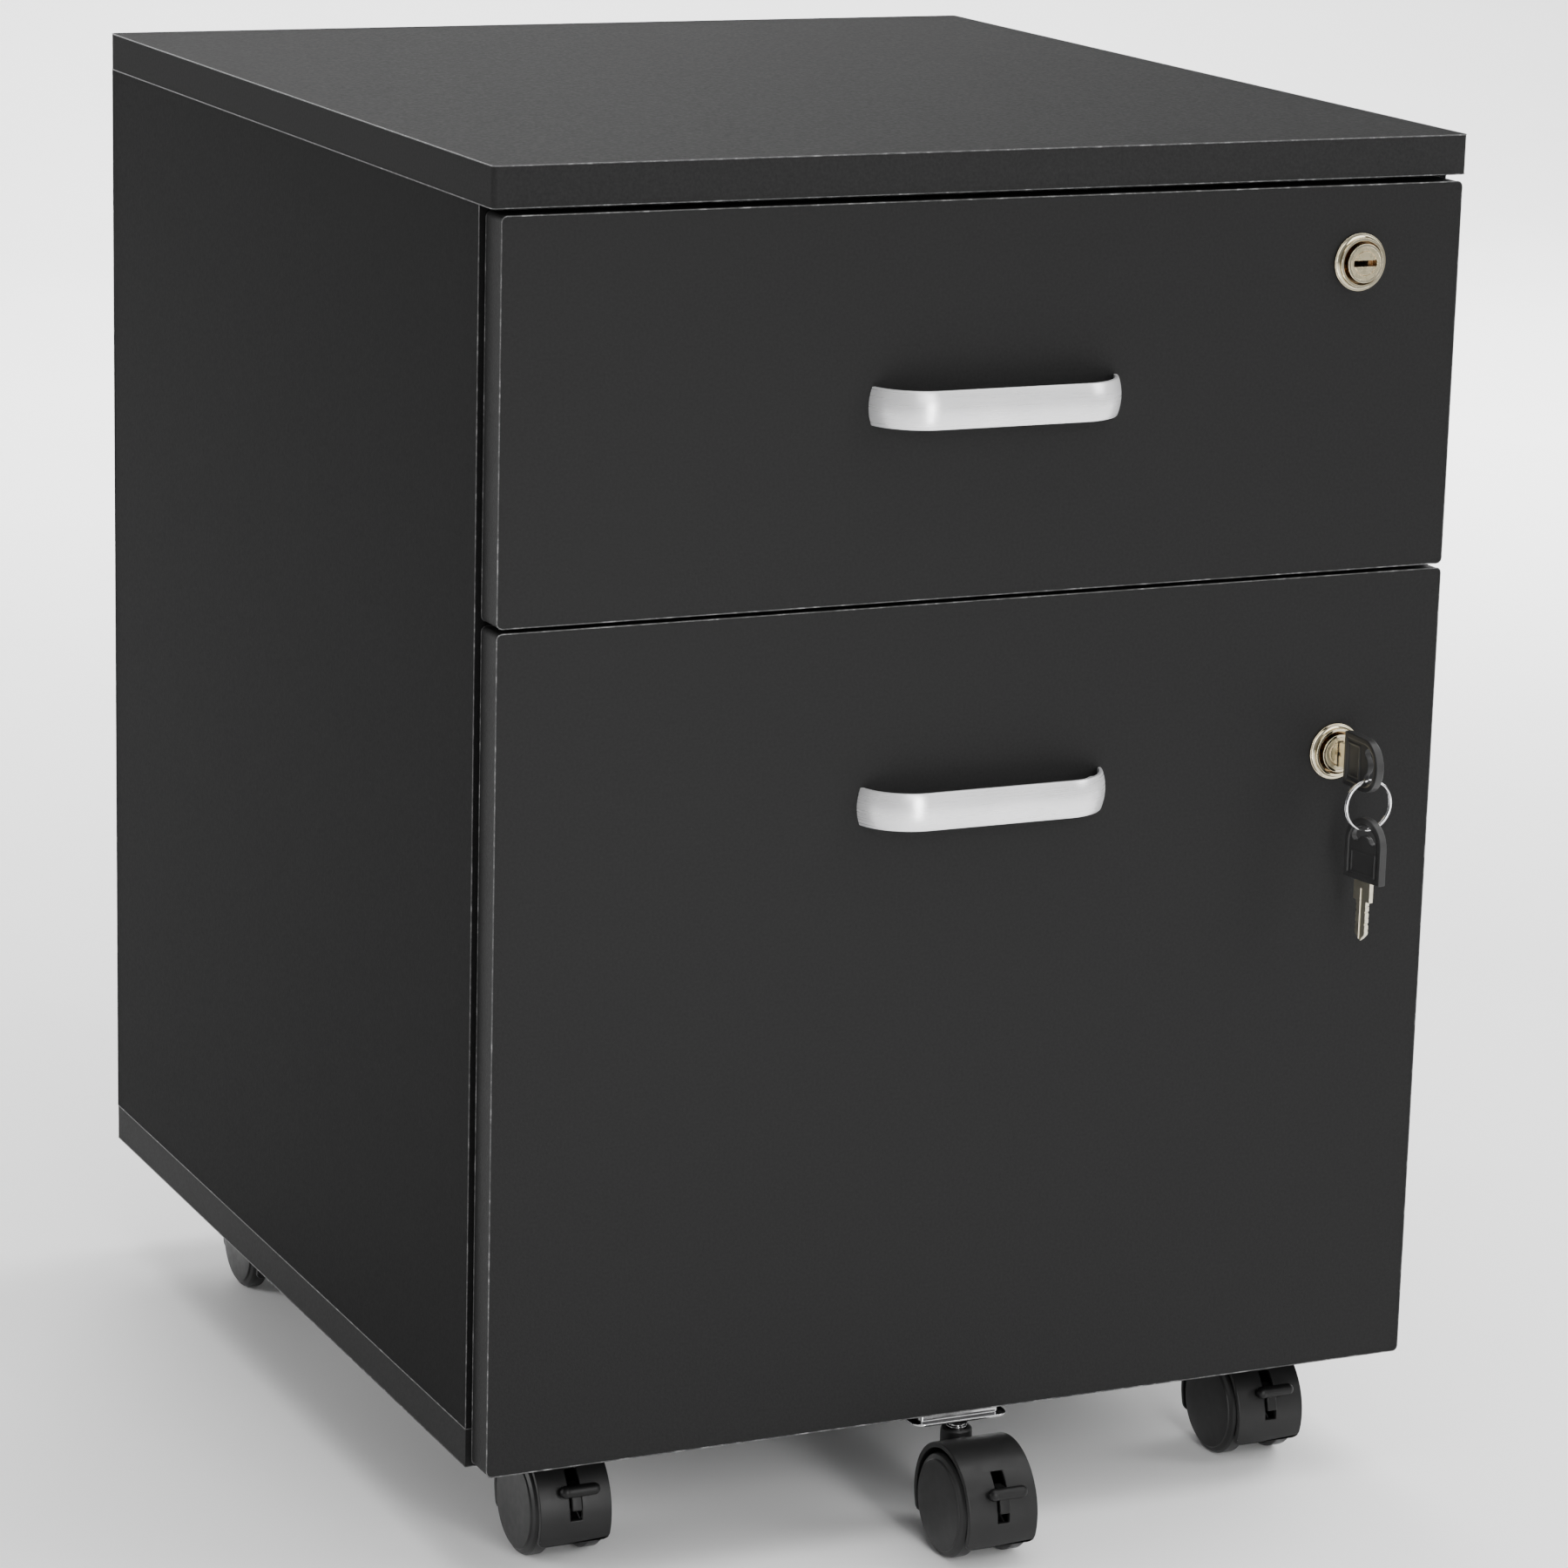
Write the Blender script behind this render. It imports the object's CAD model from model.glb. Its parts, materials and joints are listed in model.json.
"""Looks of the rolling pedestal cabinet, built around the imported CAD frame. Units are metres."""

import json
from math import cos, pi, radians, sin, tau

import bmesh
import bpy
from mathutils import Matrix, Vector


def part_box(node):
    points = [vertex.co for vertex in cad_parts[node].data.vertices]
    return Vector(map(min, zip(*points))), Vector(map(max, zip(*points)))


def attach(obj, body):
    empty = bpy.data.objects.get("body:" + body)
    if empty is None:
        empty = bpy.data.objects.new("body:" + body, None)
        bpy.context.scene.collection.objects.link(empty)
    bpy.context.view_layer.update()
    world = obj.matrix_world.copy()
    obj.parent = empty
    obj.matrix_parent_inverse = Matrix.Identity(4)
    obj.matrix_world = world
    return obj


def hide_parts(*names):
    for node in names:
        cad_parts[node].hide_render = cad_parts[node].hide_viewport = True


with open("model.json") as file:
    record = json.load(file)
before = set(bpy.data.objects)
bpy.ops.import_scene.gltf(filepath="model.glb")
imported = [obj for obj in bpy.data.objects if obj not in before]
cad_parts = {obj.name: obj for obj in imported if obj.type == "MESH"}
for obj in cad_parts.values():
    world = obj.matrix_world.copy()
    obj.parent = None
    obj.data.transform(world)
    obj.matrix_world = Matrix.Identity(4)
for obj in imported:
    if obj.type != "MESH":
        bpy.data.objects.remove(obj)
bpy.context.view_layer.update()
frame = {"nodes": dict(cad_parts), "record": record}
nodes = frame["nodes"]

MM = 0.001


# ---- node-building helpers for materials ----

class Shader:
    """A material with a Principled shader and short calls to add nodes to it."""

    def __init__(self, name, roughness, metallic=0.0, **sockets):
        self.material = bpy.data.materials.new(name)
        self.material.use_nodes = True
        self.tree = self.material.node_tree
        self.bsdf = self.tree.nodes["Principled BSDF"]
        self.bsdf.inputs["Roughness"].default_value = roughness
        self.bsdf.inputs["Metallic"].default_value = metallic
        for socket, value in sockets.items():
            self.bsdf.inputs[socket.replace("_", " ")].default_value = value
        self.place = self.node("ShaderNodeTexCoord").outputs["Object"]

    def node(self, kind, **settings):
        made = self.tree.nodes.new(kind)
        for key, value in settings.items():
            setattr(made, key, value)
        return made

    def link(self, output, socket):
        self.tree.links.new(output, socket)

    def stretched(self, scale):
        """Object coordinates in metres, multiplied by scale on each axis."""
        mapping = self.node("ShaderNodeMapping")
        mapping.inputs["Scale"].default_value = scale
        self.link(self.place, mapping.inputs["Vector"])
        return mapping.outputs["Vector"]

    def noise(self, scale, detail=2.0, roughness=0.5, stretch=(1, 1, 1)):
        """Cloudy noise, 0 to 1, with features of about 1 / scale metres."""
        made = self.node("ShaderNodeTexNoise")
        made.inputs["Scale"].default_value = scale
        made.inputs["Detail"].default_value = detail
        made.inputs["Roughness"].default_value = roughness
        self.link(self.stretched(stretch), made.inputs["Vector"])
        return made.outputs["Fac"]

    def pebbles(self, scale, stretch=(1, 1, 1)):
        """Distance from the middles of rounded cells, which are about 1 / scale metres wide."""
        made = self.node("ShaderNodeTexVoronoi", feature="SMOOTH_F1")
        made.inputs["Scale"].default_value = scale
        self.link(self.stretched(stretch), made.inputs["Vector"])
        return made.outputs["Distance"]

    def remap(self, value, low, high, to_low, to_high):
        """Stretches the range low..high of a value to to_low..to_high."""
        made = self.node("ShaderNodeMapRange")
        for name, number in (("From Min", low), ("From Max", high),
                             ("To Min", to_low), ("To Max", to_high)):
            made.inputs[name].default_value = number
        self.link(value, made.inputs["Value"])
        return made.outputs["Result"]

    def ramp(self, value, *stops):
        """Colours a value by stops of (position, colour)."""
        made = self.node("ShaderNodeValToRGB")
        elements = made.color_ramp.elements
        while len(elements) < len(stops):
            elements.new(0.5)
        for element, (position, colour) in zip(elements, stops):
            element.position = position
            element.color = (*colour, 1)
        self.link(value, made.inputs["Fac"])
        return made.outputs["Color"]

    def mix(self, factor, one, two, blend="MIX"):
        """Colour one where factor is 0, and colour two, or its blend with one, where it is 1.

        The factor is a node's output, or the number 1.
        """
        made = self.node("ShaderNodeMix", data_type="RGBA", blend_type=blend)
        sockets = {socket.identifier: socket for socket in made.inputs}
        if factor == 1:
            sockets["Factor_Float"].default_value = 1
        else:
            self.link(factor, sockets["Factor_Float"])
        self.link(one, sockets["A_Color"])
        self.link(two, sockets["B_Color"])
        return {socket.identifier: socket for socket in made.outputs}["Result_Color"]

    def facing(self, axis):
        """How far the surface faces along one of the object's own axes, either way, 0 to 1."""
        parts = self.node("ShaderNodeSeparateXYZ")
        self.link(self.place.node.outputs["Normal"], parts.inputs[0])
        size = self.node("ShaderNodeMath", operation="ABSOLUTE")
        self.link(parts.outputs[axis], size.inputs[0])
        return size.outputs[0]

    def colour(self, output):
        self.link(output, self.bsdf.inputs["Base Color"])

    def roughness(self, output):
        self.link(output, self.bsdf.inputs["Roughness"])

    def bump(self, *layers):
        """Layers of (height output, strength, distance in metres), one over the other."""
        normal = None
        for height, strength, distance in layers:
            made = self.node("ShaderNodeBump")
            made.inputs["Strength"].default_value = strength
            made.inputs["Distance"].default_value = distance
            self.link(height, made.inputs["Height"])
            if normal:
                self.link(normal, made.inputs["Normal"])
            normal = made.outputs["Normal"]
        self.link(normal, self.bsdf.inputs["Normal"])


def grey(level):
    return (level, level, level)


# ---- materials ----

def melamine(name, level, pebble, gloss=0.05, band=None):
    """Black melamine-faced board: near-black, satin, with a fine pressed pebble grain.

    A board that lies flat may have edge bands of another grey level than its face.
    """
    look = Shader(name, 0.48, Specular_IOR_Level=gloss)
    mottle = look.noise(900, 3, 0.6)
    shade = look.ramp(mottle, (0.3, grey(level * 0.85)), (0.7, grey(level * 1.15)))
    if band:
        edge = look.ramp(mottle, (0.3, grey(band * 0.85)), (0.7, grey(band * 1.15)))
        shade = look.mix(look.remap(look.facing("Z"), 0.3, 0.7, 0, 1), edge, shade)
    look.colour(shade)
    look.roughness(look.remap(look.noise(700, 3), 0.3, 0.7, 0.44, 0.52))
    look.bump((look.pebbles(1500), pebble, 0.0002), (look.noise(3200, 2), pebble * 0.6, 0.0001))
    return look.material


def scraped_arris():
    """The scraped corner of an edge band: black that has worn to a light grey in places."""
    look = Shader("scraped_arris", 0.40, Specular_IOR_Level=0.4)
    wear = look.noise(260, 4, 0.7)
    look.colour(look.ramp(wear, (0.40, grey(0.022)), (0.54, grey(0.06)), (0.68, grey(0.20))))
    look.roughness(look.remap(wear, 0.3, 0.7, 0.34, 0.50))
    look.bump((look.noise(1800, 2), 0.2, 0.0001))
    return look.material


def drawer_board():
    """Board of the drawer boxes: dark grey melamine with a faint wood grain along the drawer."""
    look = Shader("drawer_box_board", 0.5)
    grain = look.noise(40, 5, 0.6, stretch=(1.5, 0.12, 1.5))
    look.colour(look.ramp(grain, (0.3, grey(0.022)), (0.7, grey(0.032))))
    look.roughness(look.remap(grain, 0.3, 0.7, 0.44, 0.56))
    look.bump((grain, 0.25, 0.0003))
    return look.material


def satin_aluminium():
    """Satin silver finish of the pulls, brushed along their length."""
    look = Shader("handle_metal", 0.28, 0.5)
    brush = look.noise(1500, 3, 0.6, stretch=(0.02, 0.02, 1))
    cloud = look.noise(60, 3)
    look.colour(look.ramp(cloud, (0.3, (0.75, 0.75, 0.76)), (0.7, (0.81, 0.81, 0.82))))
    look.roughness(look.remap(brush, 0.3, 0.7, 0.26, 0.32))
    look.bump((brush, 0.012, 0.00005))
    return look.material


def plated(name, low, high, rough, wear=0.05, grime=None):
    """Plated metal with faint handling marks and, if grime is given, that colour in its crevices."""
    look = Shader(name, rough, 1.0)
    cloud = look.ramp(look.noise(160, 4, 0.65), (0.25, low), (0.75, high))
    if grime:
        crevice = look.node("ShaderNodeAmbientOcclusion", samples=8)
        crevice.inputs["Distance"].default_value = 0.004
        shade = look.ramp(crevice.outputs["AO"], (0.15, grime), (0.75, (1, 1, 1)))
        cloud = look.mix(1, cloud, shade, "MULTIPLY")
    look.colour(cloud)
    look.roughness(look.remap(look.noise(420, 3), 0.3, 0.7, rough - wear, rough + wear))
    look.bump((look.noise(900, 2), 0.05, 0.00005))
    return look.material


def moulded_plastic(name, level, rough, grain=0.12):
    """Moulded black nylon with a fine spark-eroded grain."""
    look = Shader(name, rough, Specular_IOR_Level=0.25)
    cloud = look.noise(120, 3)
    look.colour(look.ramp(cloud, (0.3, grey(level * 0.9)), (0.7, grey(level * 1.12))))
    look.roughness(look.remap(look.noise(260, 3), 0.3, 0.7, rough - 0.04, rough + 0.05))
    look.bump((look.noise(2600, 2), grain, 0.00012))
    return look.material


MATERIALS = {
    "carcass_board": melamine("carcass_board", 0.011, 0.12, 0.006),
    "front_board": melamine("front_board", 0.0145, 0.30),
    "top_board": melamine("top_board", 0.008, 0.12, 0.004, band=0.020),
    "edge_band": melamine("edge_band", 0.016, 0.12, 0.02),
    "scraped_arris": scraped_arris(),
    "drawer_box_board": drawer_board(),
    "plated_steel": plated("plated_steel", (0.50, 0.51, 0.53), (0.60, 0.61, 0.62), 0.34),
    "caster_plate": plated("caster_plate", (0.40, 0.40, 0.41), (0.50, 0.50, 0.50), 0.14, 0.04,
                           grime=grey(0.05)),
    "handle_metal": satin_aluminium(),
    "lock_nickel": plated("lock_nickel", (0.53, 0.47, 0.33), (0.64, 0.58, 0.43), 0.10, 0.03,
                          grime=(0.34, 0.22, 0.12)),
    "lock_brass": plated("lock_brass", (0.52, 0.45, 0.29), (0.62, 0.55, 0.38), 0.28,
                         grime=(0.40, 0.22, 0.10)),
    "hood_plastic": moulded_plastic("hood_plastic", 0.009, 0.40),
    "brake_plastic": moulded_plastic("brake_plastic", 0.004, 0.44),
    "wheel_plastic": moulded_plastic("wheel_plastic", 0.013, 0.36, 0.06),
    "key_steel": plated("key_steel", (0.58, 0.54, 0.43), (0.68, 0.64, 0.52), 0.36),
    "key_plastic": moulded_plastic("key_plastic", 0.022, 0.42),
    "ring_steel": plated("ring_steel", (0.66, 0.66, 0.67), (0.74, 0.74, 0.74), 0.07, 0.02),
}


# ---- edges of the CAD nodes ----

def weld(piece):
    """Joins the loose triangles of a CAD mesh at their corners."""
    piece.modifiers.new("weld", "WELD").merge_threshold = 0.001 * MM


def smooth(piece):
    for polygon in piece.data.polygons:
        polygon.use_smooth = True
    normals = piece.modifiers.new("normals", "WEIGHTED_NORMAL")
    normals.keep_sharp = True
    normals.weight = 60


def soften(piece, width, clamp):
    """Rounds a CAD node's edges with modifiers, which leave its mesh as it is."""
    weld(piece)
    flat = piece.modifiers.new("flat_faces", "DECIMATE")
    flat.decimate_type = "DISSOLVE"
    flat.angle_limit = radians(0.5)
    edge = piece.modifiers.new("round_edges", "BEVEL")
    edge.width = width
    edge.segments = 2
    edge.limit_method = "ANGLE"
    edge.angle_limit = radians(30)
    edge.use_clamp_overlap = clamp
    smooth(piece)


def melt(piece, voxel, rounds):
    """Gives a small moulding its round rims: fine voxels, evened out."""
    weld(piece)
    skin = piece.modifiers.new("voxels", "REMESH")
    skin.mode = "VOXEL"
    skin.voxel_size = voxel
    skin.use_smooth_shade = True
    even = piece.modifiers.new("round_rims", "SMOOTH")
    even.factor = 0.5
    even.iterations = rounds


def arris_bead(node, body, corner, radius=0.24 * MM):
    """The two scraped corner lines round a board, along the edges of its broad faces."""
    corner_steps = 3
    low, high = (Vector(c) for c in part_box(node))
    size = high - low
    thin = min(range(3), key=lambda axis: size[axis])
    u, v = (axis for axis in range(3) if axis != thin)
    curve = bpy.data.curves.new(node + "_arris", "CURVE")
    curve.dimensions = "3D"
    curve.bevel_depth = radius
    curve.bevel_resolution = 2
    for level in (low[thin], high[thin]):
        points = []
        for side, (end_u, end_v) in enumerate(((1, 1), (-1, 1), (-1, -1), (1, -1))):
            for step in range(corner_steps + 1):
                a = pi / 2 * (side + step / corner_steps)
                point = Vector((0, 0, 0))
                point[thin] = level
                point[u] = (high[u] if end_u > 0 else low[u]) + corner * (cos(a) - end_u)
                point[v] = (high[v] if end_v > 0 else low[v]) + corner * (sin(a) - end_v)
                points.append(point)
        line = curve.splines.new("POLY")
        line.points.add(len(points) - 1)
        for spot, point in zip(line.points, points):
            spot.co = (*point, 1)
        line.use_cyclic_u = True
    bead = bpy.data.objects.new(node + "_arris", curve)
    bpy.context.scene.collection.objects.link(bead)
    curve.materials.append(MATERIALS["scraped_arris"])
    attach(bead, body)


# Rounding of the CAD nodes of each finish: width in mm, and whether narrow features limit it.
EDGES = {
    "drawer_box_board": (0.6, True),
    "plated_steel": (0.2, True),
    "caster_plate": (0.3, False),
    "handle_metal": (0.25, False),
    "lock_nickel": (0.18, False),
    "lock_brass": (0.12, True),
    "hood_plastic": (0.5, False),
    "wheel_plastic": (0.25, False),
    "key_steel": (0.12, True),
}
LOOKS = {"bottom_panel": "edge_band", "top_panel": "top_board"}
LOOKS.update({name: "brake_plastic" for name in nodes if name.endswith("_brake")})
# Corner radius in mm of each board that has scraped arrises.
BOARDS = {
    "top_panel": 2, "upper_drawer_front": 2, "lower_drawer_front": 2,
    "left_side_panel": 0.3, "right_side_panel": 0.3, "bottom_panel": 0.3,
}

homes = {node: body for body, members in frame["record"]["behaviour"]["bodies"].items()
         for node in members}
slots = {entry["node"]: entry["material_slot"] for entry in frame["record"]["subparts"]}
for name, piece in nodes.items():
    slot = slots[name]
    piece.data.materials.clear()
    piece.data.materials.append(MATERIALS[LOOKS.get(name, slot)])
    if slot in EDGES:
        width, clamp = EDGES[slot]
        soften(piece, width * MM, clamp)
    elif slot == "key_plastic":
        melt(piece, 0.22 * MM, 4)
for board, corner in BOARDS.items():
    arris_bead(board, homes[board], corner * MM)


# ---- the split key ring ----

def squared(value):
    """Swells a sine or cosine, so that a circle becomes a rectangle with round corners."""
    return abs(value) ** 0.6 * (1 if value > 0 else -1)


def add_key_ring():
    """Two turns of flat wire, side by side, with a step where one turn crosses to the other."""
    low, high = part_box("key_ring")
    centre = (Vector(low) + Vector(high)) / 2
    size = Vector(high) - Vector(low)
    # Half the wire's thickness and width, and half the distance between the two turns
    wire_r = 0.45 * MM
    wire_y = 0.2726 * size.y
    turn_y = 0.2784 * size.y
    ring_r = size.z / 2 - wire_r
    steps, around = 160, 12
    # Where the wire begins, and the arc in which it crosses over
    start, cross = radians(100), radians(26)
    mesh = bmesh.new()
    sections = []
    for i in range(steps + 1):
        a = start + 2 * tau * i / steps
        passed = 2 * tau * i / steps - tau
        t = min(1, max(0, passed / cross + 0.5))
        offset = (t * t * (3 - 2 * t) - 0.5) * 2 * turn_y
        section = []
        for k in range(around):
            b = tau * k / around
            side = wire_y * squared(sin(b))
            r = ring_r + wire_r * squared(cos(b))
            section.append(mesh.verts.new((r * cos(a), offset + side, r * sin(a))))
        sections.append(section)
    for one, two in zip(sections, sections[1:]):
        for k in range(around):
            n = (k + 1) % around
            mesh.faces.new((one[k], one[n], two[n], two[k]))
    mesh.faces.new(sections[0][::-1])
    mesh.faces.new(sections[-1])
    bmesh.ops.recalc_face_normals(mesh, faces=mesh.faces)
    data = bpy.data.meshes.new("split_ring")
    mesh.to_mesh(data)
    mesh.free()
    ring = bpy.data.objects.new("split_ring", data)
    ring.location = centre
    bpy.context.scene.collection.objects.link(ring)
    data.materials.append(MATERIALS["ring_steel"])
    smooth(ring)
    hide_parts("key_ring")
    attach(ring, "key_ring")


add_key_ring()


# ---- camera, floor and light ----

def add_camera():
    """The photograph's viewing angle: left of centre and above the top panel."""
    azimuth, elevation, roll = radians(-24.847), radians(13.998), radians(1.487)
    from_top_front_middle = Vector((-0.8819, -1.7293, 0.2418))
    data = bpy.data.cameras.new("camera")
    data.sensor_width = 36
    data.lens = 121.45
    data.clip_end = 50
    camera = bpy.data.objects.new("camera", data)
    bpy.context.scene.collection.objects.link(camera)
    turn = (Matrix.Rotation(azimuth, 4, "Z") @ Matrix.Rotation(pi / 2 - elevation, 4, "X")
            @ Matrix.Rotation(roll, 4, "Z"))
    low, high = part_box("top_panel")
    place = Vector((0, low[1], high[2])) + from_top_front_middle
    camera.matrix_world = Matrix.Translation(place) @ turn
    bpy.context.scene.camera = camera


def add_floor():
    """A pale floor that curves up into a backdrop far behind the cabinet."""
    mesh = bmesh.new()
    half, bend, bend_y, height = 6.0, 2.0, 3.0, 6.0
    steps = 16
    profile = [(-half, 0.0)]
    for i in range(steps + 1):
        a = pi / 2 * i / steps
        profile.append((bend_y + bend * sin(a), bend - bend * cos(a)))
    profile.append((bend_y + bend, height))
    rows = [[mesh.verts.new((x, y, z)) for y, z in profile] for x in (-half, half)]
    for i in range(len(profile) - 1):
        mesh.faces.new((rows[0][i], rows[1][i], rows[1][i + 1], rows[0][i + 1]))
    data = bpy.data.meshes.new("floor")
    mesh.to_mesh(data)
    mesh.free()
    floor = bpy.data.objects.new("floor", data)
    bpy.context.scene.collection.objects.link(floor)
    look = Shader("floor_paper", 0.7)
    look.colour(look.ramp(look.noise(3, 3), (0.3, grey(0.90)), (0.7, grey(0.93))))
    data.materials.append(look.material)
    for polygon in data.polygons:
        polygon.use_smooth = True


def area_light(name, place, target, size, power):
    """A soft box of a size in metres and a power in watts, which the camera doesn't see."""
    data = bpy.data.lights.new(name, "AREA")
    data.shape = "RECTANGLE"
    data.size, data.size_y = size
    data.energy = power
    light = bpy.data.objects.new(name, data)
    light.location = place
    light.visible_camera = False
    light.rotation_euler = (Vector(target) - Vector(place)).to_track_quat("-Z", "Y").to_euler()
    bpy.context.scene.collection.objects.link(light)


def add_lights():
    world = bpy.data.worlds.new("studio")
    bpy.context.scene.world = world
    world.use_nodes = True
    background = world.node_tree.nodes["Background"]
    background.inputs["Color"].default_value = (1, 1, 1, 1)
    background.inputs["Strength"].default_value = 0.36
    middle = (0, 0, 0.3)
    area_light("low_strip", (0.0, -0.90, 0.26), (0.0, 0, 0.26), (0.11, 0.50), 2.8)
    area_light("front_soft", (0.05, -2.4, 0.9), middle, (0.5, 1.4), 14)
    area_light("left_soft", (-0.35, -1.6, 1.1), middle, (0.5, 0.9), 4)
    area_light("right_soft", (1.1, -1.0, 0.95), (0.2, 0, 0.4), (0.5, 0.8), 8)
    area_light("top_soft", (0.4, -0.1, 2.6), (0, 0, 0), (2.6, 2.6), 85)
    area_light("left_fill", (-2.2, 0.8, 0.7), middle, (1.4, 1.3), 36)
    area_light("right_fill", (2.2, 0.8, 1.3), middle, (1.4, 1.2), 50)
    area_light("rear_fill", (0.5, 2.7, 2.2), middle, (1.6, 1.0), 45)
    area_light("backdrop_light", (1.5, 1.7, 2.2), (1.9, 5.0, 0.2), (2.0, 1.0), 260)


add_camera()
add_floor()
add_lights()
